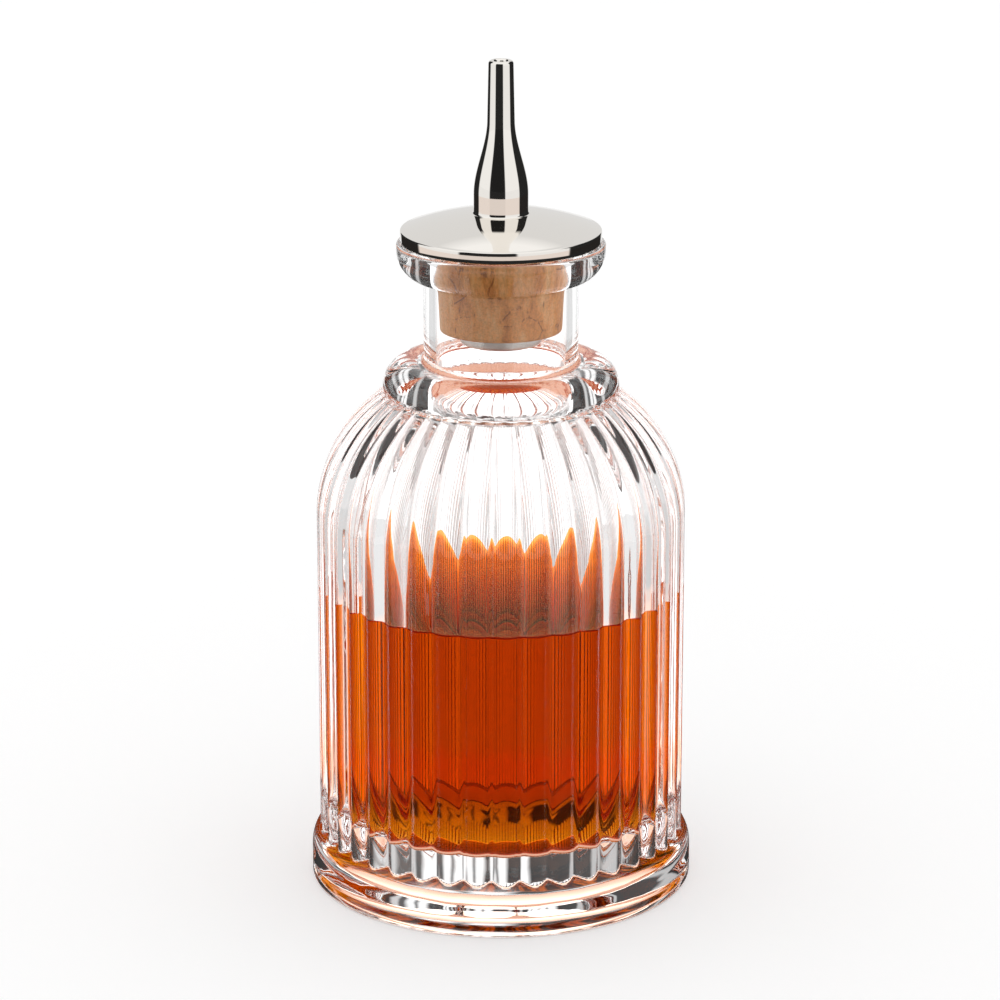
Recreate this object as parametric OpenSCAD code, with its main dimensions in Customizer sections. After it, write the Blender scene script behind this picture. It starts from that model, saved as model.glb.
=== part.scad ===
// Dasher bottle: a round glass bottle with convex vertical ribs, part filled with bitters,
// and a lift-out stopper made of a metal spout on a domed disc, a stem tube and a cork sleeve.
// Millimetres. Z is the bottle's axis and points up, and z = 0 is the plane that it stands on.

/* [Foot] */
// Diameter of the smooth foot ring
foot_d = 64; // [58:0.5:80]
// Height of the foot ring's upright side
foot_side_h = 5; // [3:0.1:8]
// Height of the foot ring's rounded top, above its upright side
foot_round_h = 4.2; // [2:0.1:5]
// Radius of the foot ring's bottom edge
foot_edge_r = 0.4; // [0.2:0.1:1]
// Depth of the shallow hollow under the base
punt_depth = 0.6; // [0.3:0.1:2]
// Width of the ring that the bottle stands on
stand_ring_w = 5; // [2:0.5:8]

/* [Ribbed body] */
// Diameter over the crests of the ribs
body_d = 61.2; // [50:0.2:62]
// Height of the upright wall's top, where the shoulder starts
wall_top_h = 63.2; // [50:0.2:90]
// Radius of the shoulder's arc
shoulder_r = 25; // [22:0.5:26]
// Number of ribs round the body
rib_count = 40; // [24:1:48]
// Depth of the grooves between the ribs
rib_depth = 1; // [0.3:0.05:1.2]
// Angle that the ribs are turned by from the front
rib_turn = 6; // [0:0.5:9]
// Thickness of the glass wall, from rib crest to cavity
wall_t = 4.6; // [3:0.1:9]
// Thickness of the glass base, from the table to the cavity's floor
base_t = 11.5; // [8:0.5:18]
// Radius of the cavity's bottom corner
floor_corner_r = 4; // [2:0.5:8]

/* [Neck and lip] */
// Diameter of the rounded collar where the shoulder meets the neck
collar_d = 38.9; // [36:0.1:41]
// Radius of the collar's rounded section
collar_bead_r = 4.2; // [3:0.1:5]
// Depth that the collar's centre lies below the shoulder's arc
collar_sink = 0.9; // [0:0.1:1.5]
// Outer diameter of the neck
neck_d = 25.4; // [24.6:0.2:27]
// Height of the neck, from the collar's centre to the lip's top face
neck_h = 24; // [21:0.2:40]
// Diameter of the neck's bore
bore_d = 21.7; // [18:0.1:22.5]
// Diameter of the lip
lip_d = 34.3; // [32:0.1:38]
// Height of the lip's outer band
lip_band_h = 1.2; // [1:0.1:3]
// Height of the lip's rounded underside
lip_round_h = 4.8; // [3:0.1:6]
// Radius of the bore's rounded mouth
mouth_r = 1; // [0.5:0.1:1.5]

/* [Bitters] */
// Height of the liquid's surface above the table
fill_h = 50.5; // [25:0.1:60]
// Gap between the liquid and the glass
liquid_gap = 0.05; // [0.02:0.01:0.2]

/* [Cap disc] */
// Diameter of the disc that covers the lip
disc_d = 33; // [28:0.1:34]
// Thickness of the disc at its rim
disc_rim_t = 2; // [1.2:0.1:3]
// Rise of the disc's domed top above its rim
disc_dome_h = 3; // [1:0.1:4]
// Width of the bevel on the disc's top edge
disc_bevel = 0.25; // [0.1:0.05:0.6]
// Gap between the disc and the lip
seat_gap = 0.1; // [0.05:0.05:0.3]

/* [Spout] */
// Length of the spout above the disc's dome
spout_l = 25.2; // [18:0.2:40]
// Diameter of the spout's barrel, above the disc
spout_barrel_d = 9; // [7:0.1:11]
// Length of the spout's straight barrel
barrel_l = 3.2; // [2:0.1:5]
// Length of the curved stretch that narrows the barrel to the neck of the spout
spout_curve_l = 12.2; // [8:0.1:14]
// Diameter of the spout where the curved stretch ends
spout_neck_d = 4.5; // [4.2:0.1:6]
// Diameter of the spout's rounded tip
spout_tip_d = 4.1; // [3.4:0.1:4.2]
// Diameter of the pouring hole in the tip
spout_hole_d = 2; // [1:0.1:2.4]
// Diameter of the flared ring at the spout's root
spout_root_d = 9.8; // [8:0.1:13]

/* [Stem and cork] */
// Outer diameter of the stem tube
stem_d = 6; // [5:0.1:6.6]
// Bore of the stem tube
stem_bore_d = 3.6; // [2:0.1:4]
// Length of the cork below the disc
cork_l = 14.6; // [10:0.1:18]
// Diameter of the cork's top
cork_top_d = 21.5; // [17:0.1:21.5]
// Diameter of the cork's lower end
cork_end_d = 20.1; // [15:0.1:20.4]
// Radius of the cork's rounded lower edge
cork_edge_r = 0.7; // [0.3:0.1:1.5]
// Diameter of the ferrule that holds the cork on the stem
ferrule_d = 13.4; // [10:0.1:16]
// Thickness of the ferrule's flange
ferrule_t = 2.2; // [1.5:0.1:4]
// Gap round each piece that is pushed over the stem
push_gap = 0.05; // [0.02:0.01:0.1]
// Length of the stem inside the spout and inside the ferrule
stem_grip_l = 1.6; // [1:0.1:2]

/* [Hidden] */

// Smoothness of the round faces
$fn = 120;
// Points on each rounded edge, on each rib and up the shoulder
edge_steps = 8;
points_per_rib = 5;
shoulder_steps = 9;
// Amount that a cut runs past the face that it opens
cut_past = 1;

// Radii of the foot, the body and the cavity
foot_r = foot_d / 2;
body_r = body_d / 2;
cavity_r = body_r - wall_t;
// Centre of the shoulder's arc, which the inside of the shoulder shares
shoulder_cx = body_r - shoulder_r;
inner_shoulder_r = shoulder_r - wall_t;
// The foot ring's total height, and how far the ribs reach down inside it
foot_h = foot_side_h + foot_round_h;
rib_start_h = foot_side_h;
// Centre of the collar's round section, on the shoulder's arc
collar_cr = collar_d / 2 - collar_bead_r;
shoulder_z_at_collar = wall_top_h + sqrt(pow(shoulder_r, 2) - pow(collar_cr - shoulder_cx, 2));
collar_z = shoulder_z_at_collar - collar_sink;
// The ribs end inside the collar, where the shoulder's arc passes under it
rib_end_r = collar_d / 2 - collar_bead_r / 2;
rib_end_angle = acos((rib_end_r - shoulder_cx) / shoulder_r);
// Neck and lip
neck_r = neck_d / 2;
bore_r = bore_d / 2;
lip_r = lip_d / 2;
lip_top_z = collar_z + neck_h;
lip_band_z = lip_top_z - lip_band_h;
lip_top_edge_r = 0.5;
// The fillet between the collar's round section and the neck touches both
neck_fillet_r = 1.2;
neck_fillet_cr = neck_r + neck_fillet_r;
collar_end_angle = acos((neck_fillet_cr - collar_cr) / (collar_bead_r + neck_fillet_r));
neck_fillet_z = collar_z + (collar_bead_r + neck_fillet_r) * sin(collar_end_angle);
// Height where the inside of the shoulder meets the bore, with a rounded throat
throat_r = 1.5;
throat_angle = acos((bore_r + throat_r - shoulder_cx) / (inner_shoulder_r + throat_r));
throat_z = wall_top_h + (inner_shoulder_r + throat_r) * sin(throat_angle);
// Stopper heights, worked out from the lip
disc_z = lip_top_z + seat_gap;
disc_r = disc_d / 2;
rim_top_z = disc_z + disc_rim_t;
disc_hole_r = stem_d / 2 + push_gap;
// Radius of the sphere that the disc's dome is part of
dome_span = disc_r - disc_bevel;
dome_r = (pow(dome_span, 2) + pow(disc_dome_h, 2)) / (2 * disc_dome_h);
spout_root_r = spout_root_d / 2;
// The spout stands on a flat seat that is as wide as its root
spout_z = rim_top_z + dome_height(spout_root_r);
spout_tip_z = spout_z + spout_l;
spout_tip_r = spout_tip_d / 2;
spout_curve_z = spout_z + barrel_l;
barrel_r = spout_barrel_d / 2;
cork_z = disc_z - cork_l;
ferrule_z = cork_z - ferrule_t;
ferrule_r = ferrule_d / 2;
ferrule_inlet_r = stem_bore_d / 2;
ferrule_edge_r = 0.5;
stem_r = stem_d / 2;
stem_top_z = spout_z + stem_grip_l;
stem_bottom_z = cork_z - stem_grip_l;

// Height of the disc's dome over its rim at a given radius
function dome_height(r) = disc_dome_h - dome_r + sqrt(pow(dome_r, 2) - pow(r, 2));

// Points on an arc of radius r about (cx, cz), from angle a0 to angle a1
function arc(cx, cz, r, a0, a1, steps = edge_steps) = oval(cx, cz, r, r, a0, a1, steps);

// Points on an oval arc whose half width is rx and whose half height is rz
function oval(cx, cz, rx, rz, a0, a1, steps = edge_steps) =
    [for (i = [0:steps]) let (a = a0 + (a1 - a0) * i / steps) [cx + rx * cos(a), cz + rz * sin(a)]];

// Points on a smooth S-curve between two radii, which starts and ends upright
function s_curve(r0, z0, r1, z1, steps = 2 * edge_steps) =
    [for (i = [0:steps]) let (t = i / steps, s = t * t * (3 - 2 * t)) [r0 + (r1 - r0) * s, z0 + (z1 - z0) * t]];

// Depth below the crest of a rib whose half width is w and whose groove is depth deep,
// at u from -1 to 1 across the rib: the rib's face is an arc of a circle
function rib_face(u, w, depth) =
    let (r = (w * w + depth * depth) / (2 * depth)) r - sqrt(r * r - pow(u * w, 2));

// One level of the ribbed skin: the crest's radius and the height
function skin_level(i) =
    i == 0 ? [body_r, rib_start_h] :
    let (a = rib_end_angle * (i - 1) / shoulder_steps)
    [shoulder_cx + shoulder_r * cos(a), wall_top_h + shoulder_r * sin(a)];

// One point of the ribbed skin, on level i and at step k round it
function skin_point(i, k) =
    let (
        level = skin_level(i),
        u = 2 * (k % points_per_rib) / points_per_rib - 1,
        half_w = 180 / rib_count * PI / 180 * level[0],
        depth = rib_depth * level[0] / body_r,
        r = level[0] - rib_face(u, half_w, depth),
        a = 360 * k / (rib_count * points_per_rib) - 90 + rib_turn
    )
    [r * cos(a), r * sin(a), level[1]];

// The ribbed wall and shoulder: convex ribs that narrow towards the collar
module ribbed_skin() {
    ring = rib_count * points_per_rib;
    levels = shoulder_steps + 2;
    points = [for (i = [0:levels - 1]) for (k = [0:ring - 1]) skin_point(i, k)];
    sides = [
        for (i = [0:levels - 2]) for (k = [0:ring - 1]) let (n = (k + 1) % ring)
            each [
                [i * ring + k, (i + 1) * ring + k, (i + 1) * ring + n],
                [i * ring + k, (i + 1) * ring + n, i * ring + n]
            ]
    ];
    bottom = [for (k = [0:ring - 1]) k];
    top = [for (k = [ring - 1:-1:0]) (levels - 1) * ring + k];
    polyhedron(points = points, faces = concat(sides, [bottom, top]), convexity = 4);
}

// The smooth foot ring, with a rounded top that the ribs run down into
module foot_ring() {
    inset = foot_r - body_r + rib_depth + 1;
    rotate_extrude()
        polygon(concat(
            [[0, 0]],
            arc(foot_r - foot_edge_r, foot_edge_r, foot_edge_r, -90, 0),
            oval(foot_r - inset, foot_side_h, inset, foot_round_h, 0, 90),
            [[0, foot_h]]
        ));
}

// The collar, the neck and the lip, above the ribs. The lip's underside is a quarter of an oval
// that runs down to the neck.
module neck_and_lip() {
    lip_overhang = lip_r - neck_r;
    buried_z = collar_z - collar_bead_r * 0.7;
    rotate_extrude()
        polygon(concat(
            [[0, buried_z], [collar_cr, buried_z]],
            arc(collar_cr, collar_z, collar_bead_r, -40, collar_end_angle, 2 * edge_steps),
            arc(neck_fillet_cr, neck_fillet_z, neck_fillet_r, 180 + collar_end_angle, 180),
            oval(neck_r, lip_band_z, lip_overhang, lip_round_h, -88, 0),
            arc(lip_r - lip_top_edge_r, lip_top_z - lip_top_edge_r, lip_top_edge_r, 0, 90),
            [[0, lip_top_z]]
        ));
}

// The hollow inside the bottle: floor, wall, shoulder, throat, bore and rounded mouth
module cavity() {
    rotate_extrude()
        polygon(concat(
            [[0, base_t]],
            arc(cavity_r - floor_corner_r, base_t + floor_corner_r, floor_corner_r, -90, 0),
            arc(shoulder_cx, wall_top_h, inner_shoulder_r, 0, throat_angle, 2 * edge_steps),
            arc(bore_r + throat_r, throat_z, throat_r, 180 + throat_angle, 180),
            arc(bore_r + mouth_r, lip_top_z - mouth_r, mouth_r, 180, 90),
            [[bore_r + mouth_r, lip_top_z + cut_past], [0, lip_top_z + cut_past]]
        ));
}

// The shallow hollow under the base, inside the ring that the bottle stands on
module punt() {
    r = foot_r - foot_edge_r - stand_ring_w;
    translate([0, 0, -cut_past])
        cylinder(h = cut_past + punt_depth, r = r);
}

// The bottle: one piece of clear glass
module glass_bottle() {
    color("lightcyan", 0.4)
        difference() {
            union() {
                foot_ring();
                ribbed_skin();
                neck_and_lip();
            }
            cavity();
            punt();
        }
}

// The bitters, which fill the cavity's floor and lower wall
module bitters_liquid() {
    r = cavity_r - liquid_gap;
    corner = floor_corner_r - liquid_gap;
    color("orangered", 0.8)
        rotate_extrude()
            polygon(concat(
                [[0, base_t + liquid_gap]],
                arc(r - corner, base_t + floor_corner_r, corner, -90, 0),
                [[r, fill_h], [0, fill_h]]
            ));
}

// The domed metal disc that covers the lip, with a hole for the stem
module cap_disc() {
    color("gainsboro")
        difference() {
            rotate_extrude()
                polygon(concat(
                    [[0, disc_z], [disc_r, disc_z], [disc_r, rim_top_z - disc_bevel]],
                    [for (i = [0:edge_steps]) let (r = dome_span + (spout_root_r - dome_span) * i / edge_steps)
                        [r, rim_top_z + dome_height(r)]],
                    [[0, spout_z]]
                ));
            translate([0, 0, disc_z - cut_past])
                cylinder(h = spout_z - disc_z + 2 * cut_past, r = disc_hole_r);
        }
}

// The spout: a flared root, a straight barrel and a neck that narrows to a rounded open tip
module spout() {
    tip_round_r = spout_tip_r - spout_hole_d / 2;
    root_h = spout_root_r - barrel_r;
    socket_r = disc_hole_r;
    color("silver")
        difference() {
            rotate_extrude()
                polygon(concat(
                    [[0, spout_z], [spout_root_r, spout_z]],
                    arc(spout_root_r, spout_z + root_h, root_h, 270, 180),
                    s_curve(barrel_r, spout_curve_z, spout_neck_d / 2, spout_curve_z + spout_curve_l),
                    arc(spout_tip_r - tip_round_r, spout_tip_z - tip_round_r, tip_round_r, 0, 90),
                    [[0, spout_tip_z]]
                ));
            translate([0, 0, spout_z - cut_past])
                cylinder(h = cut_past + stem_grip_l + push_gap, r = socket_r);
            translate([0, 0, spout_z])
                cylinder(h = barrel_l, r = stem_bore_d / 2);
            translate([0, 0, spout_curve_z])
                cylinder(h = spout_curve_l, r1 = stem_bore_d / 2, r2 = spout_hole_d / 2);
            translate([0, 0, spout_curve_z + spout_curve_l / 2])
                cylinder(h = spout_l, r = spout_hole_d / 2);
        }
}

// The tube that carries the liquid up through the cork and the disc into the spout
module stem_tube() {
    color("silver")
        translate([0, 0, stem_bottom_z])
            difference() {
                cylinder(h = stem_top_z - stem_bottom_z, r = stem_r);
                translate([0, 0, -cut_past])
                    cylinder(h = stem_top_z - stem_bottom_z + 2 * cut_past, r = stem_bore_d / 2);
            }
}

// The tapered cork, pushed over the stem
module cork_sleeve() {
    top_z = disc_z;
    top_r = cork_top_d / 2;
    end_r = cork_end_d / 2;
    color("burlywood")
        difference() {
            rotate_extrude()
                polygon(concat(
                    [[0, cork_z]],
                    arc(end_r - cork_edge_r, cork_z + cork_edge_r, cork_edge_r, -90, 0),
                    [[top_r, top_z], [0, top_z]]
                ));
            translate([0, 0, cork_z - cut_past])
                cylinder(h = cork_l + 2 * cut_past, r = stem_r + push_gap);
        }
}

// The flanged ferrule that is pushed on the stem's lower end and holds the cork
module end_ferrule() {
    color("darkgray")
        difference() {
            rotate_extrude()
                polygon(concat(
                    [[0, ferrule_z]],
                    arc(ferrule_r - ferrule_edge_r, ferrule_z + ferrule_edge_r, ferrule_edge_r, -90, 0),
                    [[ferrule_r, cork_z], [0, cork_z]]
                ));
            translate([0, 0, ferrule_z - cut_past])
                cylinder(h = ferrule_t + 2 * cut_past, r = ferrule_inlet_r);
            translate([0, 0, stem_bottom_z - push_gap])
                cylinder(h = stem_grip_l + push_gap + cut_past, r = stem_r + push_gap);
        }
}

glass_bottle();
bitters_liquid();
cap_disc();
spout();
stem_tube();
cork_sleeve();
end_ferrule();
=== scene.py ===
"""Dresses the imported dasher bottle: ribbed glass, bitters, and the lift-out metal and cork stopper.

Every length in the classes is in millimetres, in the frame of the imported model: Z is the bottle's axis
and points up, z = 0 is the plane that it stands on, and -Y faces the camera.
"""
import logging
import math
from dataclasses import dataclass
from enum import Enum

import bmesh
import bpy
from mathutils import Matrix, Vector


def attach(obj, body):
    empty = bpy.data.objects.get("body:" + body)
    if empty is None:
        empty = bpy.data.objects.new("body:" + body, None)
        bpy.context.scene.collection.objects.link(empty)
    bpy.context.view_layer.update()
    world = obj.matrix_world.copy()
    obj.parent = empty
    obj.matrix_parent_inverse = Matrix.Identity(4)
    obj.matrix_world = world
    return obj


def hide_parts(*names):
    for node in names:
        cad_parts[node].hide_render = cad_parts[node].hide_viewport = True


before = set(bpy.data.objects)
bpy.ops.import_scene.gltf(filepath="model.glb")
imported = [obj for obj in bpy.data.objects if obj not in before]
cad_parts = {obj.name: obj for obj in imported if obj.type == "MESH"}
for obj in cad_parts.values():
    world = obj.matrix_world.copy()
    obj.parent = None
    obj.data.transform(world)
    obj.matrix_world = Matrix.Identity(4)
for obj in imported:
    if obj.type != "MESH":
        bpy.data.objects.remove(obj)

LOG = logging.getLogger("bitters_bottle")
MM = 0.001
WELD = 1e-7

Point = tuple[float, float]
Colour = tuple[float, float, float, float]
Zone = tuple[float, str, str, tuple[float, float, float, float]]


class Body(Enum):
    """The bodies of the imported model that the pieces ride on."""

    BOTTLE = "bottle"
    STOPPER = "stopper"


class Slot(Enum):
    """The record's material slots."""

    CLEAR_GLASS = "clear_glass"
    BITTERS = "bitters"
    POLISHED_NICKEL = "polished_nickel"
    CORK = "cork"
    SATIN_NICKEL = "satin_nickel"


def linear(hex_colour: str, alpha: float = 1.0) -> Colour:
    """Turns an sRGB hex colour to linear light.

    Args:
        hex_colour: Six hex digits, such as "B9855A".
        alpha: The fourth value.

    Returns:
        Linear red, green, blue and alpha.
    """
    shares = [int(hex_colour[i:i + 2], 16) / 255 for i in (0, 2, 4)]
    red, green, blue = (c / 12.92 if c <= 0.04045 else ((c + 0.055) / 1.055) ** 2.4 for c in shares)
    return red, green, blue, alpha


def arc(cx: float, cz: float, rx: float, rz: float, start: float, end: float, steps: int) -> list[Point]:
    """Points on a round or oval arc in the plane of the profile.

    Args:
        cx: Distance of the arc's centre from the axis.
        cz: Height of the arc's centre.
        rx: Half width of the oval.
        rz: Half height of the oval.
        start: First angle in degrees, from outwards towards up.
        end: Last angle in degrees.
        steps: Number of edges.

    Returns:
        The steps + 1 points, as radius and height.
    """
    angles = [math.radians(start + (end - start) * i / steps) for i in range(steps + 1)]
    return [(cx + rx * math.cos(a), cz + rz * math.sin(a)) for a in angles]


def line(start: Point, end: Point, steps: int) -> list[Point]:
    """Points on a straight line, without its first one."""
    return [(start[0] + (end[0] - start[0]) * i / steps, start[1] + (end[1] - start[1]) * i / steps)
            for i in range(1, steps + 1)]


def add_node(tree: bpy.types.NodeTree, kind: str, sockets: dict | None = None, links: dict | None = None,
             **settings: object) -> bpy.types.Node:
    """Adds one shader node.

    Args:
        tree: The node tree that it goes in.
        kind: The node's type, without "ShaderNode".
        sockets: Values of input sockets, by name or number.
        links: Output sockets that feed input sockets, by the input's name or number.
        **settings: The node's own properties.

    Returns:
        The new node.
    """
    node = tree.nodes.new("ShaderNode" + kind)
    for key, value in settings.items():
        setattr(node, key, value)
    for key, value in (sockets or {}).items():
        node.inputs[key].default_value = value
    for key, source in (links or {}).items():
        tree.links.new(source, node.inputs[key])
    return node


def add_ramp(tree: bpy.types.NodeTree, source: bpy.types.NodeSocket, stops: list[tuple[float, Colour]],
             interpolation: str = "LINEAR") -> bpy.types.NodeSocket:
    """Adds a colour ramp.

    Args:
        tree: The node tree that it goes in.
        source: The value that runs along the ramp.
        stops: Positions and their colours, in order.
        interpolation: How the ramp goes from stop to stop.

    Returns:
        The ramp's colour.
    """
    ramp = add_node(tree, "ValToRGB", links={"Fac": source})
    ramp.color_ramp.interpolation = interpolation
    elements = ramp.color_ramp.elements
    while len(elements) < len(stops):
        elements.new(1.0)
    for element, (position, colour) in zip(elements, stops):
        element.position = position
        element.color = colour
    return ramp.outputs["Color"]


def new_material(name: str) -> tuple[bpy.types.Material, bpy.types.NodeTree, bpy.types.Node]:
    """A material with only an output node.

    Args:
        name: The material's name.

    Returns:
        The material, its node tree and its output node.
    """
    material = bpy.data.materials.new(name)
    material.use_nodes = True
    tree = material.node_tree
    tree.nodes.clear()
    return material, tree, add_node(tree, "OutputMaterial")


@dataclass(frozen=True)
class ClearGlass:
    """Pressed soda-lime glass, fire polished: clear and bright, with the faint waves of its mould."""

    name: str
    index: float
    wave_width: float = 5.0
    wave_depth: float = 0.02

    def build(self) -> bpy.types.Material:
        """Makes the material."""
        material, tree, output = new_material(self.name)
        place = add_node(tree, "TexCoord").outputs["Object"]
        waves = add_node(tree, "TexNoise", {"Scale": 1 / (self.wave_width * MM), "Detail": 1.0}, {"Vector": place})
        bump = add_node(tree, "Bump", {"Distance": self.wave_depth * MM, "Strength": 1.0},
                        {"Height": waves.outputs["Fac"]})
        glass = add_node(tree, "BsdfGlass", {"Color": (1, 1, 1, 1), "Roughness": 0.0, "IOR": self.index},
                         {"Normal": bump.outputs["Normal"]})
        tree.links.new(glass.outputs[0], output.inputs["Surface"])
        return material


@dataclass(frozen=True)
class Bitters:
    """Clear orange bitters: light goes through, and what is left deepens from amber to red with depth.

    Only its free top bends light. Where it wets the glass, the wetted glass does all of the bending.
    """

    name: str
    index: float
    wall_r: float
    top_from_z: float
    skin: Colour = (1.0, 0.62, 0.26, 1.0)
    wet_skin: Colour = (1.0, 0.62, 0.35, 1.0)
    kept: Colour = (0.91, 0.81, 0.0, 1.0)
    strength: float = 300.0

    def build(self) -> bpy.types.Material:
        """Makes the material."""
        material, tree, output = new_material(self.name)
        place = add_node(tree, "TexCoord").outputs["Object"]
        axes = add_node(tree, "SeparateXYZ", links={0: place})
        across = add_node(tree, "VectorMath", {1: (1.0, 1.0, 0.0)}, {0: place}, operation="MULTIPLY").outputs[0]
        reach = add_node(tree, "VectorMath", links={0: across}, operation="LENGTH").outputs["Value"]
        off_wall = add_node(tree, "Math", {1: (self.wall_r - 0.01) * MM}, {0: reach}, operation="LESS_THAN")
        high = add_node(tree, "Math", {1: self.top_from_z * MM}, {0: axes.outputs[2]}, operation="GREATER_THAN")
        top = add_node(tree, "Math", links={0: off_wall.outputs[0], 1: high.outputs[0]}, operation="MULTIPLY")
        wetting = add_node(tree, "BsdfGlass", {"Color": self.wet_skin, "Roughness": 0.0, "IOR": 1.0})
        surface = add_node(tree, "BsdfGlass", {"Color": self.skin, "Roughness": 0.0, "IOR": self.index})
        either = add_node(tree, "MixShader", links={0: top.outputs[0], 1: wetting.outputs[0],
                                                    2: surface.outputs[0]})
        depth = add_node(tree, "VolumeAbsorption", {"Color": self.kept, "Density": self.strength})
        tree.links.new(either.outputs[0], output.inputs["Surface"])
        tree.links.new(depth.outputs[0], output.inputs["Volume"])
        return material


@dataclass(frozen=True)
class Nickel:
    """Nickel plate: a warm grey-white mirror when polished, soft and greyer when satin."""

    name: str
    colour: Colour
    roughness: float

    def build(self) -> bpy.types.Material:
        """Makes the material."""
        material, tree, output = new_material(self.name)
        place = add_node(tree, "TexCoord").outputs["Object"]
        haze = add_node(tree, "TexNoise", {"Scale": 1 / (3 * MM), "Detail": 4.0}, {"Vector": place})
        rough = add_node(tree, "MapRange", {"To Min": self.roughness * 0.7, "To Max": self.roughness * 1.3},
                         {"Value": haze.outputs["Fac"]})
        metal = add_node(tree, "BsdfPrincipled", {"Base Color": self.colour, "Metallic": 1.0},
                         {"Roughness": rough.outputs["Result"]})
        tree.links.new(metal.outputs[0], output.inputs["Surface"])
        return material


@dataclass(frozen=True)
class Cork:
    """Ground natural cork: dull tan, with upright growth streaks, dark lenticels and pinprick pits."""

    name: str
    tan: Colour
    dark: Colour
    pale: Colour

    def build(self) -> bpy.types.Material:
        """Makes the material."""
        material, tree, output = new_material(self.name)
        place = add_node(tree, "TexCoord").outputs["Object"]
        upright = add_node(tree, "Mapping", {"Scale": (1.0, 1.0, 0.3)}, {"Vector": place}).outputs[0]
        streaks = add_node(tree, "TexNoise", {"Scale": 1 / (2.4 * MM), "Detail": 7.0, "Roughness": 0.66},
                           {"Vector": upright})
        tone = add_ramp(tree, streaks.outputs["Fac"], [(0.3, self.dark), (0.48, self.tan), (0.7, self.pale)])
        cells = add_node(tree, "TexNoise", {"Scale": 1 / (0.35 * MM), "Detail": 3.0, "Roughness": 0.7},
                         {"Vector": place})
        grains = add_ramp(tree, cells.outputs["Fac"], [(0.38, (0.84, 0.81, 0.78, 1)), (0.6, (1.08, 1.08, 1.08, 1))])
        flecks = add_node(tree, "TexVoronoi", {"Scale": 1 / (1.7 * MM)}, {"Vector": upright})
        pores = add_ramp(tree, flecks.outputs["Distance"], [(0.05, (0.42, 0.3, 0.22, 1)), (0.13, (1, 1, 1, 1))])
        grained = add_node(tree, "Mix", {"Factor": 1.0}, {6: tone, 7: grains}, data_type="RGBA",
                           blend_type="MULTIPLY").outputs[2]
        pored = add_node(tree, "Mix", {"Factor": 0.85}, {6: grained, 7: pores}, data_type="RGBA",
                         blend_type="MULTIPLY").outputs[2]
        bent = add_node(tree, "Mix", {"Factor": 0.0012}, {6: place, 7: streaks.outputs["Color"]}, data_type="RGBA",
                        blend_type="ADD").outputs[2]
        seams = add_node(tree, "TexVoronoi", {"Scale": 1 / (4.5 * MM)}, {"Vector": bent}, feature="DISTANCE_TO_EDGE")
        gaps = add_ramp(tree, seams.outputs["Distance"], [(0.01, (0.0, 0.0, 0.0, 1)), (0.03, (1, 1, 1, 1))])
        healed = add_ramp(tree, streaks.outputs["Fac"], [(0.42, (0.0, 0.0, 0.0, 1)), (0.47, (1, 1, 1, 1))])
        cracks = add_node(tree, "Mix", {"Factor": 1.0}, {6: gaps, 7: healed}, data_type="RGBA",
                          blend_type="LIGHTEN").outputs[2]
        shade = add_ramp(tree, cracks, [(0.0, (0.3, 0.2, 0.13, 1)), (1.0, (1, 1, 1, 1))])
        colour = add_node(tree, "Mix", {"Factor": 0.6}, {6: pored, 7: shade}, data_type="RGBA",
                          blend_type="MULTIPLY").outputs[2]
        dents = add_node(tree, "Math", links={0: cells.outputs["Fac"], 1: pores}, operation="ADD").outputs[0]
        height = add_node(tree, "Math", links={0: dents, 1: cracks}, operation="ADD").outputs[0]
        bump = add_node(tree, "Bump", {"Distance": 0.1 * MM, "Strength": 0.5}, {"Height": height})
        skin = add_node(tree, "BsdfPrincipled", {"Roughness": 0.85, "Specular IOR Level": 0.2},
                        {"Base Color": colour, "Normal": bump.outputs["Normal"]})
        tree.links.new(skin.outputs[0], output.inputs["Surface"])
        return material


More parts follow.
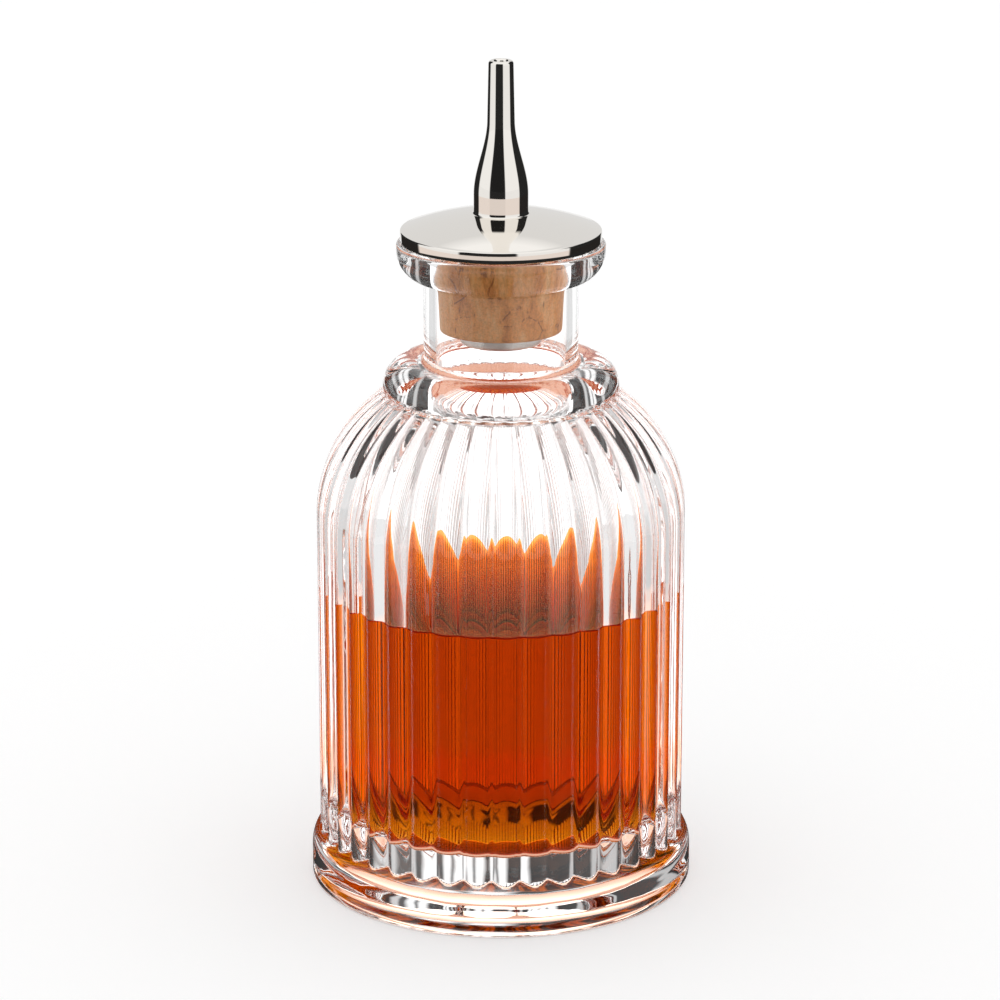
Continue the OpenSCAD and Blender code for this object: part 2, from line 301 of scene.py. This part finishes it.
class Turning:
    """A piece that is drawn as a chain of points and spun round the bottle's axis."""

    def __init__(self, name: str, chain: list[Point], azimuth: float = 0.0) -> None:
        """Draws the chain by extruding a single vertex from point to point.

        Args:
            name: The piece's name.
            chain: Points as radius and height, with the piece's inside on a fixed side.
            azimuth: Angle in degrees of the plane that the chain lies in.
        """
        side = Vector((math.cos(math.radians(azimuth)), math.sin(math.radians(azimuth)), 0.0))
        places = [(side * r + Vector((0, 0, z))) * MM for r, z in chain]
        bpy.ops.object.select_all(action="DESELECT")
        bpy.ops.mesh.primitive_plane_add(size=MM, location=places[0])
        bpy.ops.object.transform_apply(location=True, rotation=True, scale=True)
        self.piece = bpy.context.object
        self.piece.name = self.piece.data.name = name
        bpy.ops.object.mode_set(mode="EDIT")
        bpy.ops.mesh.select_mode(type="VERT")
        bpy.ops.mesh.select_all(action="SELECT")
        bpy.ops.mesh.merge(type="CENTER")
        for here, there in zip(places, places[1:]):
            bpy.ops.mesh.extrude_region_move(TRANSFORM_OT_translate={"value": there - here})

    def spin(self, steps: int, angle: float, copies: bool = False) -> None:
        """Spins all of the piece round the axis.

        Args:
            steps: Number of steps.
            angle: The whole turn in degrees.
            copies: True for separate copies, and False for faces between the steps.
        """
        bpy.ops.mesh.select_all(action="SELECT")
        bpy.ops.mesh.spin(steps=steps, angle=math.radians(angle), center=(0, 0, 0), axis=(0, 0, 1), dupli=copies)

    def pick(self, wanted: set[int]) -> None:
        """Selects only the vertices with these numbers."""
        shape = bmesh.from_edit_mesh(self.piece.data)
        for vertex in shape.verts:
            vertex.select = vertex.index in wanted
        shape.select_flush_mode()
        bmesh.update_edit_mesh(self.piece.data)

    def close(self, smooth_below: float = 180.0) -> bpy.types.Object:
        """Welds the seam and the poles, turns the faces outwards and leaves edit mode.

        Args:
            smooth_below: Edges that turn less than this many degrees are shaded smooth.

        Returns:
            The finished piece.
        """
        bpy.ops.mesh.select_all(action="SELECT")
        bpy.ops.mesh.remove_doubles(threshold=WELD)
        bpy.ops.mesh.dissolve_degenerate(threshold=WELD)
        bpy.ops.mesh.select_all(action="SELECT")
        bpy.ops.mesh.normals_make_consistent(inside=False)
        bpy.ops.object.mode_set(mode="OBJECT")
        if smooth_below >= 180:
            bpy.ops.object.shade_smooth()
        else:
            bpy.ops.object.shade_smooth_by_angle(angle=math.radians(smooth_below))
        return self.piece


def place(piece: bpy.types.Object, node: str, body: Body, slot: Slot,
          materials: list[bpy.types.Material]) -> bpy.types.Object:
    """Gives a piece its materials and its body, and hides the CAD node that it stands for.

    Args:
        piece: The finished piece.
        node: The CAD node that it replaces.
        body: The body that it rides on.
        slot: The record's slot that its finish comes from. Not used.
        materials: Its materials, in the order of its faces' numbers.

    Returns:
        The piece.
    """
    for material in materials:
        piece.data.materials.append(material)
    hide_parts(node)
    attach(piece, body.value)
    triangles = sum(len(face.vertices) - 2 for face in piece.data.polygons)
    LOG.info("%s: %d triangles, on %s", piece.name, triangles, body.value)
    return piece


@dataclass
class GlassBottle:
    """The ribbed bottle: foot ring, ribs, shoulder, collar, neck, lip and hollow, in one piece of glass."""

    foot_r: float = 32.0
    foot_side_h: float = 5.0
    foot_round_h: float = 4.2
    foot_inset: float = 3.4
    punt_depth: float = 0.6
    body_r: float = 30.6
    wall_top_h: float = 63.2
    shoulder_r: float = 25.0
    rib_count: int = 40
    rib_depth: float = 1.0
    rib_turn: float = 6.0
    rib_facets: int = 16
    groove_share: float = 0.2
    wall_t: float = 4.6
    base_t: float = 11.5
    floor_corner_r: float = 4.0
    collar_cr: float = 15.25
    collar_z: float = 85.36
    collar_bead_r: float = 4.2
    neck_r: float = 12.7
    neck_fillet_r: float = 1.2
    bore_r: float = 10.85
    throat_r: float = 1.5
    lip_r: float = 17.15
    lip_top_z: float = 109.36
    lip_band_h: float = 1.2
    lip_round_h: float = 4.8
    lip_edge_r: float = 0.5
    mouth_r: float = 1.0
    contact_z: float = 50.5

    @property
    def cavity_r(self) -> float:
        """Radius of the hollow."""
        return self.body_r - self.wall_t

    @property
    def shoulder_cx(self) -> float:
        """Distance of the shoulder arc's centre from the axis."""
        return self.body_r - self.shoulder_r

    def foot_chain(self) -> list[Point]:
        """The underside and the foot ring, up to where the ribs' crests leave it."""
        oval_cx = self.foot_r - self.foot_inset
        crest = math.degrees(math.acos((self.body_r - oval_cx) / self.foot_inset))
        return [
            (0.0, self.punt_depth), (12.0, self.punt_depth), (21.0, self.punt_depth),
            (24.5, self.punt_depth - 0.05), (26.0, self.punt_depth - 0.25), (27.0, 0.08), (28.0, 0.0), (30.5, 0.0),
            *arc(self.foot_r - 0.6, 0.6, 0.6, 0.6, -90, 0, 5),
            *line((self.foot_r, 0.6), (self.foot_r, self.foot_side_h), 2),
            *arc(oval_cx, self.foot_side_h, self.foot_inset, self.foot_round_h, 0, crest, 8)[1:],
        ]

    def ribbed_chain(self) -> list[Point]:
        """The crest line of a rib, from the foot ring to the collar's bead."""
        foot_top = self.foot_chain()[-1][1]
        start = (self.body_r, foot_top)
        last = self.shoulder_end_angle()
        return [
            *line(start, (self.body_r, foot_top + 1.0), 5),
            *line((self.body_r, foot_top + 1.0), (self.body_r, self.wall_top_h), 6),
            *arc(self.shoulder_cx, self.wall_top_h, self.shoulder_r, self.shoulder_r, 0, last, 22)[1:],
        ]

    def shoulder_end_angle(self) -> float:
        """Angle in degrees up the shoulder's arc where it meets the collar's bead."""
        across = self.collar_cr - self.shoulder_cx
        up = self.collar_z - self.wall_top_h
        reach = math.hypot(across, up)
        spread = math.acos((self.shoulder_r ** 2 + reach ** 2 - self.collar_bead_r ** 2)
                           / (2 * self.shoulder_r * reach))
        return math.degrees(math.atan2(up, across) - spread)

    def top_chain(self) -> list[Point]:
        """The collar's bead, the neck and the lip, up to the bore's mouth."""
        last = math.radians(self.shoulder_end_angle())
        meet = (self.shoulder_cx + self.shoulder_r * math.cos(last),
                self.wall_top_h + self.shoulder_r * math.sin(last))
        bead_start = math.degrees(math.atan2(meet[1] - self.collar_z, meet[0] - self.collar_cr))
        fillet_cr = self.neck_r + self.neck_fillet_r
        touch = math.degrees(math.acos((fillet_cr - self.collar_cr) / (self.collar_bead_r + self.neck_fillet_r)))
        fillet_z = self.collar_z + (self.collar_bead_r + self.neck_fillet_r) * math.sin(math.radians(touch))
        band_z = self.lip_top_z - self.lip_band_h
        edge = self.lip_edge_r
        return [
            *arc(self.collar_cr, self.collar_z, self.collar_bead_r, self.collar_bead_r, bead_start, touch, 16)[1:],
            *arc(fillet_cr, fillet_z, self.neck_fillet_r, self.neck_fillet_r, 180 + touch, 180, 5)[1:],
            *line((self.neck_r, fillet_z), (self.neck_r, band_z - self.lip_round_h - 0.6), 3),
            *arc(self.neck_r + 0.6, band_z - self.lip_round_h - 0.2, 0.6, 0.6, 178, 120, 3),
            *arc(self.neck_r, band_z, self.lip_r - self.neck_r, self.lip_round_h, -76, 0, 10),
            *line((self.lip_r, band_z), (self.lip_r, self.lip_top_z - edge), 2),
            *arc(self.lip_r - edge, self.lip_top_z - edge, edge, edge, 0, 90, 5)[1:],
            (14.2, self.lip_top_z),
        ]

    def hollow_chain(self) -> list[Point]:
        """The mouth, the bore, the throat, the inner shoulder, the wall and the floor."""
        inner_r = self.shoulder_r - self.wall_t
        throat = math.degrees(math.acos((self.bore_r + self.throat_r - self.shoulder_cx)
                                        / (inner_r + self.throat_r)))
        throat_z = self.wall_top_h + (inner_r + self.throat_r) * math.sin(math.radians(throat))
        mouth = self.mouth_r
        corner = self.floor_corner_r
        corner_z = self.base_t + corner
        return [
            *arc(self.bore_r + mouth, self.lip_top_z - mouth, mouth, mouth, 90, 180, 6),
            *line((self.bore_r, self.lip_top_z - mouth), (self.bore_r, throat_z), 4),
            *arc(self.bore_r + self.throat_r, throat_z, self.throat_r, self.throat_r, 180, 180 + throat, 6)[1:],
            *arc(self.shoulder_cx, self.wall_top_h, inner_r, inner_r, throat, 0, 20)[1:],
            *line((self.cavity_r, self.wall_top_h), (self.cavity_r, self.contact_z), 2),
            *line((self.cavity_r, self.contact_z), (self.cavity_r, corner_z), 3),
            *arc(self.cavity_r - corner, corner_z, corner, corner, 0, -90, 9)[1:],
            (14.0, self.base_t), (0.0, self.base_t),
        ]

    def groove_depth(self, across: float) -> float:
        """Depth below the crest at a place across a rib, for a groove that is 1 deep.

        Args:
            across: Place from -1 to 1, from groove to groove.

        Returns:
            The depth's share: an arc of a circle, which a small rounded groove joins to the next rib.
        """
        half = math.pi * self.body_r / self.rib_count
        radius = (half ** 2 + self.rib_depth ** 2) / (2 * self.rib_depth)
        bend = (1 - self.groove_share) * half
        drop = radius - math.sqrt(radius ** 2 - bend ** 2)
        slope = bend / math.sqrt(radius ** 2 - bend ** 2)
        run = half - bend
        place_mm = abs(across) * half
        if place_mm <= bend:
            depth = radius - math.sqrt(radius ** 2 - place_mm ** 2)
        else:
            past = place_mm - bend
            depth = drop + slope * (past - past ** 2 / (2 * run))
        return depth / (drop + slope * run / 2)

    def press_ribs(self, turning: Turning, azimuth: float) -> None:
        """Pushes the ribbed rows of one wedge in towards the axis, column by column.

        Args:
            turning: The wedge, which is one rib wide.
            azimuth: Angle in degrees of the groove at the wedge's edge.
        """
        ribbed = {(round(r, 3), round(z, 3)) for r, z in self.ribbed_chain()}
        oval_cx = self.foot_r - self.foot_inset
        pitch = 360 / self.rib_count
        columns: dict[float, set[int]] = {}
        for vertex in bmesh.from_edit_mesh(turning.piece.data).verts:
            x, y, z = (c / MM for c in vertex.co)
            r = math.hypot(x, y)
            if (round(r, 3), round(z, 3)) not in ribbed:
                continue
            turn = (math.degrees(math.atan2(y, x)) - azimuth) % pitch
            depth = self.rib_depth * self.groove_depth(2 * turn / pitch - 1) * r / self.body_r
            if z < self.foot_side_h + self.foot_round_h:
                rise = (z - self.foot_side_h) / self.foot_round_h
                depth = min(depth, r - oval_cx - self.foot_inset * math.sqrt(1 - rise ** 2))
            columns.setdefault(round(1 - depth / r, 6), set()).add(vertex.index)
        for share, wanted in columns.items():
            if share < 1:
                turning.pick(wanted)
                bpy.ops.transform.resize(value=(share, share, 1), center_override=(0, 0, 0))

    def build(self, glass: bpy.types.Material, wetted: bpy.types.Material) -> bpy.types.Object:
        """Builds the bottle from one rib's wedge.

        Args:
            glass: The glass where it meets air.
            wetted: The glass where it meets the bitters.

        Returns:
            The bottle.
        """
        pitch = 360 / self.rib_count
        azimuth = -90 + self.rib_turn
        chain = self.foot_chain() + self.ribbed_chain() + self.top_chain() + self.hollow_chain()
        turning = Turning("ribbed_glass", chain, azimuth)
        turning.spin(self.rib_facets, pitch)
        bpy.ops.mesh.select_all(action="SELECT")
        bpy.ops.mesh.remove_doubles(threshold=WELD)
        self.press_ribs(turning, azimuth)
        turning.spin(self.rib_count - 1, 360 - pitch, copies=True)
        piece = place(turning.close(), "glass_bottle", Body.BOTTLE, Slot.CLEAR_GLASS, [glass, wetted])
        for face in piece.data.polygons:
            centre = face.center / MM
            inside = math.hypot(centre.x, centre.y) < self.cavity_r + 0.01
            face.material_index = int(inside and self.base_t - 0.01 < centre.z < self.contact_z)
        return piece


@dataclass
class Liquid:
    """The bitters in the hollow, whose surface climbs the glass in a small meniscus."""

    wall_r: float = 25.95
    floor_z: float = 11.55
    corner_r: float = 3.95
    level_z: float = 49.7
    contact_z: float = 50.5

    def build(self, index: float) -> bpy.types.Object:
        """Builds the liquid.

        Args:
            index: The bitters' refractive index.

        Returns:
            The liquid.
        """
        rise = self.contact_z - self.level_z
        meniscus = [(self.wall_r - d, self.level_z + rise * math.exp(-d / 0.75)) for d in
                    (0.0, 0.12, 0.28, 0.5, 0.8, 1.2, 1.8, 2.6)]
        corner_z = self.floor_z + self.corner_r
        chain = [
            (0.0, self.floor_z),
            *arc(self.wall_r - self.corner_r, corner_z, self.corner_r, self.corner_r, -90, 0, 9),
            *line((self.wall_r, corner_z), (self.wall_r, self.contact_z), 3)[:-1],
            *meniscus,
            (18.0, self.level_z), (0.0, self.level_z),
        ]
        turning = Turning("bitters", chain)
        turning.spin(200, 360)
        bitters = Bitters("orange_bitters", index, self.wall_r, self.level_z - 0.1).build()
        piece = place(turning.close(50), "bitters_liquid", Body.BOTTLE, Slot.BITTERS, [bitters])
        return piece


@dataclass
class Stopper:
    """The lift-out stopper: spout, domed disc, stem tube, cork and ferrule."""

    disc_r: float = 16.5
    disc_z: float = 109.46
    disc_rim_t: float = 2.0
    disc_dome_h: float = 3.0
    disc_bevel: float = 0.25
    stem_hole_r: float = 3.05
    spout_l: float = 25.2
    barrel_r: float = 4.5
    barrel_l: float = 3.2
    spout_curve_l: float = 12.2
    spout_neck_r: float = 2.25
    spout_tip_r: float = 2.05
    spout_hole_r: float = 1.0
    spout_root_r: float = 4.9
    cork_l: float = 14.6
    cork_top_r: float = 10.75
    cork_end_r: float = 10.05
    cork_edge_r: float = 0.7
    ferrule_r: float = 6.7
    ferrule_t: float = 2.2
    ferrule_bore_r: float = 1.8

    def dome_height(self, r: float) -> float:
        """Height of the disc's dome over its rim at a radius."""
        span = self.disc_r - self.disc_bevel
        radius = (span ** 2 + self.disc_dome_h ** 2) / (2 * self.disc_dome_h)
        return self.disc_dome_h - radius + math.sqrt(radius ** 2 - r ** 2)

    @property
    def spout_z(self) -> float:
        """Height of the seat that the spout stands on."""
        return self.disc_z + self.disc_rim_t + self.dome_height(self.spout_root_r)

    def build_disc(self, nickel: bpy.types.Material) -> bpy.types.Object:
        """Builds the domed disc with its hole for the stem."""
        top_z = self.disc_z + self.disc_rim_t
        bevel = self.disc_bevel
        span = self.disc_r - bevel
        dome = [(r, top_z + self.dome_height(r)) for r in
                [span + (self.spout_root_r - span) * i / 24 for i in range(25)]]
        chain = [
            (self.stem_hole_r, self.disc_z), (9.0, self.disc_z),
            *arc(self.disc_r - 0.2, self.disc_z + 0.2, 0.2, 0.2, -90, 0, 4),
            *arc(self.disc_r - bevel, top_z - bevel, bevel, bevel, 0, 72, 5),
            *dome,
            (self.stem_hole_r, self.spout_z), (self.stem_hole_r, self.disc_z),
        ]
        turning = Turning("nickel_disc", chain)
        turning.spin(192, 360)
        return place(turning.close(30), "cap_disc", Body.STOPPER, Slot.POLISHED_NICKEL, [nickel])

    def build_spout(self, nickel: bpy.types.Material) -> bpy.types.Object:
        """Builds the spout: flared root, barrel, curved neck and open tip."""
        base = self.spout_z
        curve_z = base + self.barrel_l
        tip_z = base + self.spout_l
        root_h = self.spout_root_r - self.barrel_r
        lip = (self.spout_tip_r - self.spout_hole_r) / 2
        steps = 24
        curve = []
        for i in range(steps + 1):
            t = i / steps
            ease = t * t * (3 - 2 * t)
            curve.append((self.barrel_r + (self.spout_neck_r - self.barrel_r) * ease, curve_z + self.spout_curve_l * t))
        chain = [
            (self.stem_hole_r, base),
            *arc(self.spout_root_r, base + root_h, root_h, root_h, 270, 180, 5),
            *line((self.barrel_r, base + root_h), (self.barrel_r, curve_z), 12),
            *curve[1:],
            *arc(self.spout_tip_r - lip, tip_z - lip, lip, lip, 0, 180, 12),
            (self.spout_hole_r, curve_z + 6), (self.stem_hole_r - 1.2, base + 3), (self.stem_hole_r, base + 1.65),
            (self.stem_hole_r, base),
        ]
        turning = Turning("nickel_spout", chain)
        turning.spin(96, 360)
        return place(turning.close(40), "spout", Body.STOPPER, Slot.POLISHED_NICKEL, [nickel])

    def build_cork(self, cork: bpy.types.Material) -> bpy.types.Object:
        """Builds the tapered cork."""
        end_z = self.disc_z - self.cork_l
        edge = self.cork_edge_r
        chain = [
            (self.stem_hole_r, end_z),
            *line((self.stem_hole_r, end_z), (self.cork_end_r - edge, end_z), 20)[:-1],
            *arc(self.cork_end_r - edge, end_z + edge, edge, edge, -90, 0, 6),
            *line((self.cork_end_r, end_z + edge), (self.cork_top_r, self.disc_z), 60),
            (self.stem_hole_r, self.disc_z), (self.stem_hole_r, end_z),
        ]
        turning = Turning("cork_body", chain)
        turning.spin(240, 360)
        piece = turning.close(50)
        return place(piece, "cork_sleeve", Body.STOPPER, Slot.CORK, [cork])

    def build_ferrule(self, satin: bpy.types.Material) -> bpy.types.Object:
        """Builds the flanged ferrule under the cork."""
        top_z = self.disc_z - self.cork_l
        low_z = top_z - self.ferrule_t
        edge = 0.5
        chain = [
            (self.ferrule_bore_r, low_z), (4.0, low_z),
            *arc(self.ferrule_r - edge, low_z + edge, edge, edge, -90, 0, 6),
            (self.ferrule_r, top_z), (self.stem_hole_r, top_z), (self.stem_hole_r, low_z + 0.55),
            (self.ferrule_bore_r, low_z + 0.55), (self.ferrule_bore_r, low_z),
        ]
        turning = Turning("ferrule_flange", chain)
        turning.spin(128, 360)
        return place(turning.close(30), "end_ferrule", Body.STOPPER, Slot.SATIN_NICKEL, [satin])


@dataclass
class Studio:
    """The white studio and the camera."""

    camera_distance: float = 690.7
    camera_height: float = 278.0
    camera_pitch: float = 17.122
    lens: float = 156.6
    seen_edges: tuple[float, ...] = (-150.0, -122.0, -48.0, 18.0, 118.0, 148.0)
    mirrored_edges: tuple[float, ...] = (-157.0, -106.0, -48.0, 18.0, 83.0, 157.0)
    edge_blur: float = 0.004
    top_from: float = 45.0
    seen_shades: tuple[float, float, float, float, float] = (0.6, 0.05, 1.6, 0.12, 1.2)
    mirrored_shades: tuple[float, float, float, float, float] = (0.76, 0.02, 0.95, 0.015, 1.0)
    # The floor as rays through the glass see it. Out to 0.17 m its zones are painted light: a salmon glow under and
    # round the bottle and a bright golden-white pool behind it. They stand in for light that comes through the bitters
    # and for a strong light on the floor behind.
    seen_floor_with_painted_glow: tuple[Zone, ...] = ((0.0, "FFC0A4", "FFC0A4", (0.9, 0.9, 0.9, 0.9)),
                                    (0.036, "FFDCC6", "FFBFA3", (2.3, 1.6, 1.1, 0.9)),
                                    (0.07, "FFFFFF", "FFDFD0", (2.0, 1.2, 1.3, 0.06)),
                                    (0.17, "FFFFFF", "FFFFFF", (1.3, 0.7, 0.9, 0.3)),
                                    (0.34, "FFFFFF", "FFFFFF", (1.3, 0.8, 0.9, 0.5)))
    mirrored_floor: tuple[Zone, ...] = ((0.0, "FFFFFF", "FFFFFF", (0.02, 0.02, 0.02, 0.02)),
                                        (0.34, "FFFFFF", "FFF3EC", (0.9, 0.02, 0.85, 0.78)),
                                        (0.58, "FFFFFF", "FFFFFF", (0.9, 0.02, 0.9, 0.02)))

    panes: tuple[Point, ...] = ((-0.52, 0.05), (-0.46, 0.6), (-0.37, 0.6), (-0.32, 0.09), (-0.06, 0.07), (0.0, 1.1),
                                (0.08, 1.1), (0.12, 0.2), (0.16, 1.1), (0.23, 1.1), (0.29, 0.14), (0.35, 0.14),
                                (0.41, 0.7), (0.47, 0.7), (0.52, 0.05))

    def build_camera(self) -> None:
        """Adds the camera at the photograph's angle."""
        camera = bpy.data.cameras.new("camera")
        camera.lens = self.lens
        camera.sensor_width = 36
        camera.shift_x = -0.001
        camera.clip_end = 20
        holder = bpy.data.objects.new("camera", camera)
        bpy.context.scene.collection.objects.link(holder)
        holder.location = Vector((0, -self.camera_distance, self.camera_height)) * MM
        holder.rotation_euler = (math.radians(90 - self.camera_pitch), 0, 0)
        bpy.context.scene.camera = holder

    def sectors(self, tree: bpy.types.NodeTree, across: bpy.types.NodeSocket, away: bpy.types.NodeSocket,
                sides: tuple[float, ...], shades: tuple[float, float, float, float],
                back_tint: str = "FFFFFF", side_tint: str = "FFFFFF") -> bpy.types.NodeSocket:
        """Shades of the things that stand round the bottle, by their direction.

        Args:
            tree: The node tree.
            across: Sideways part of the direction, to the right.
            away: Part of the direction away from the camera.
            sides: Directions in degrees of the left panel's edges, the gap's edges and the right panel's edges.
            shades: Brightness of the backdrop, side panels, soft boxes and the gap on the camera's side.
            back_tint: Hex colour of the backdrop.
            side_tint: Hex colour of all the rest.

        Returns:
            The shade in that direction.
        """
        front = add_node(tree, "Math", {1: -1.0}, {0: away}, operation="MULTIPLY").outputs[0]
        turn = add_node(tree, "Math", links={0: across, 1: front}, operation="ARCTAN2").outputs[0]
        share = add_node(tree, "MapRange", {"From Min": -math.pi, "From Max": math.pi}, {"Value": turn}).outputs[0]
        tints = [linear(tint)[:3] for tint in (back_tint, side_tint, side_tint, side_tint)]
        backdrop, panel, box, gap = ((*(shade * part for part in tint), 1.0) for shade, tint in zip(shades, tints))
        levels = (backdrop, panel, box, gap, box, panel, backdrop)
        stops = []
        for degrees, before, after in zip(sides, levels, levels[1:]):
            middle = degrees / 360 + 0.5
            stops += [(middle - self.edge_blur, before), (middle + self.edge_blur, after)]
        return add_ramp(tree, share, stops)

    def by_ray(self, tree: bpy.types.NodeTree, seen: bpy.types.NodeSocket | Colour,
               mirrored: bpy.types.NodeSocket | Colour, other: Colour) -> bpy.types.NodeSocket:
        """White for the camera, and a colour each for rays through glass, off gloss and of other kinds.

        Args:
            tree: The node tree.
            seen: Colour for rays that come through glass.
            mirrored: Colour for rays off glossy surfaces.
            other: Colour for the rays that light dull surfaces.

        Returns:
            The colour.
        """
        path = add_node(tree, "LightPath")
        colour: bpy.types.NodeSocket | Colour = other
        for ray, value in (("Is Glossy Ray", mirrored), ("Is Transmission Ray", seen),
                           ("Is Camera Ray", (1.0, 1.0, 1.0, 1.0))):
            mix = add_node(tree, "Mix", links={"Factor": path.outputs[ray]}, data_type="RGBA")
            for socket, side in ((mix.inputs[6], colour), (mix.inputs[7], value)):
                if isinstance(side, bpy.types.NodeSocket):
                    tree.links.new(side, socket)
                else:
                    socket.default_value = side
            colour = mix.outputs[2]
        return colour

    def window(self, tree: bpy.types.NodeTree, way: bpy.types.Node, ring: bpy.types.NodeSocket
               ) -> bpy.types.NodeSocket:
        """Puts the panes and frames of a window behind the bottle, which its thick base shows upside down.

        Args:
            tree: The node tree.
            way: The node that splits the direction.
            ring: The shade round the bottle.

        Returns:
            The shade with the window at the back.
        """
        across = add_node(tree, "MapRange", {"From Min": -1.0}, {"Value": way.outputs[0]}).outputs[0]
        panes = add_ramp(tree, across, [(x / 2 + 0.5, (shade, shade, shade, 1.0)) for x, shade in self.panes])
        back = add_node(tree, "Math", {1: 0.5}, {0: way.outputs[1]}, operation="GREATER_THAN").outputs[0]
        return add_node(tree, "Mix", links={"Factor": back, 6: ring, 7: panes}, data_type="RGBA").outputs[2]

    def build_world(self) -> None:
        """Adds the surroundings: backdrop, soft boxes, side panels and a soft light overhead."""
        world = bpy.data.worlds.new("studio")
        bpy.context.scene.world = world
        world.use_nodes = True
        tree = world.node_tree
        tree.nodes.clear()
        way = add_node(tree, "SeparateXYZ", links={0: add_node(tree, "TexCoord").outputs["Generated"]})
        shades = []
        for sides, levels in ((self.seen_edges, self.seen_shades), (self.mirrored_edges, self.mirrored_shades)):
            ring = self.sectors(tree, way.outputs[0], way.outputs[1], sides, levels[:4])
            if sides is self.seen_edges:
                ring = self.window(tree, way, ring)
            lift = add_node(tree, "MapRange", {"From Min": math.sin(math.radians(self.top_from - 4)),
                                               "From Max": math.sin(math.radians(self.top_from + 4))},
                            {"Value": way.outputs[2]}).outputs[0]
            mix = add_node(tree, "Mix", {7: (levels[4],) * 3 + (1.0,)}, {"Factor": lift, 6: ring}, data_type="RGBA")
            shades.append(mix.outputs[2])
        colour = self.by_ray(tree, shades[0], shades[1], (0.8, 0.8, 0.8, 1.0))
        background = add_node(tree, "Background", {"Strength": 1.0}, {"Color": colour})
        output = add_node(tree, "OutputWorld")
        tree.links.new(background.outputs[0], output.inputs["Surface"])

    def build_floor(self) -> None:
        """Adds the pale floor, on which the side panels stand, with a painted glow round the bottle that only rays
        through the glass see.
        """
        bpy.ops.object.select_all(action="DESELECT")
        bpy.ops.mesh.primitive_plane_add(size=6.0, location=(0, 0, -0.02 * MM))
        bpy.ops.object.transform_apply(location=True, rotation=True, scale=True)
        floor = bpy.context.object
        floor.name = "studio_floor"
        material, tree, output = new_material("white_board_with_painted_glow")
        spot = add_node(tree, "TexCoord").outputs["Object"]
        way = add_node(tree, "SeparateXYZ", links={0: spot})
        reach = add_node(tree, "VectorMath", links={0: spot}, operation="LENGTH").outputs["Value"]
        shades = []
        for sides, zones in ((self.seen_edges, self.seen_floor_with_painted_glow), (self.mirrored_edges, self.mirrored_floor)):
            rings = [self.sectors(tree, way.outputs[0], way.outputs[1], sides, levels, *tints)
                     for _, *tints, levels in zones]
            shade = rings[0]
            for (edge, *_), ring in zip(zones[1:], rings[1:]):
                beyond = add_node(tree, "MapRange", {"From Min": edge - 0.005, "From Max": edge + 0.005},
                                  {"Value": reach}).outputs[0]
                mix = add_node(tree, "Mix", links={"Factor": beyond, 6: shade, 7: ring}, data_type="RGBA")
                shade = mix.outputs[2]
            shades.append(shade)
        # Only rays through the glass see the painted glow round the bottle; the camera sees the paper with the bottle's
        # real shadow.
        colour = self.by_ray(tree, shades[0], shades[1], (0.6, 0.6, 0.6, 1.0))
        glow = add_node(tree, "Emission", {"Strength": 1.0}, {"Color": colour})
        paper = add_node(tree, "BsdfDiffuse", {"Color": (0.8, 0.8, 0.8, 1.0)})
        fill = add_node(tree, "Emission", {"Color": (1.0, 1.0, 1.0, 1.0), "Strength": 0.37})
        shaded = add_node(tree, "AddShader", links={0: paper.outputs[0], 1: fill.outputs[0]})
        seen_by_camera = add_node(tree, "LightPath").outputs["Is Camera Ray"]
        either = add_node(tree, "MixShader", links={0: seen_by_camera, 1: glow.outputs[0], 2: shaded.outputs[0]})
        tree.links.new(either.outputs[0], output.inputs["Surface"])
        floor.data.materials.append(material)


def set_up_light_paths() -> None:
    """Lets light cross all the walls of the glass."""
    cycles = bpy.context.scene.cycles
    cycles.max_bounces = 24
    cycles.transmission_bounces = 24
    cycles.glossy_bounces = 12
    cycles.transparent_max_bounces = 16
    bpy.context.scene.view_settings.view_transform = "Standard"


def main() -> None:
    """Builds the bottle, the liquid, the stopper and the studio, in that order."""
    logging.basicConfig(level=logging.INFO, format="%(name)s: %(message)s")
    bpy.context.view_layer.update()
    glass_index, liquid_index = 1.5, 1.333
    glass = ClearGlass("pressed_clear_glass", glass_index).build()
    wetted = ClearGlass("wetted_clear_glass", glass_index / liquid_index).build()
    GlassBottle().build(glass, wetted)
    Liquid().build(liquid_index)
    polished = Nickel("polished_nickel_plate", linear("F4F0EA"), 0.03).build()
    satin = Nickel("satin_nickel_plate", linear("C4C4C0"), 0.3).build()
    cork = Cork("ground_cork", linear("F2A65E"), linear("CC7E3C"), linear("FDC98C")).build()
    stopper = Stopper()
    stopper.build_disc(polished)
    stopper.build_spout(polished)
    stopper.build_cork(cork)
    stopper.build_ferrule(satin)
    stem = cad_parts["stem_tube"]
    for stem_slot in stem.material_slots:
        stem_slot.material = polished
    studio = Studio()
    studio.build_camera()
    studio.build_world()
    studio.build_floor()
    set_up_light_paths()


if __name__ == "__main__":
    main()
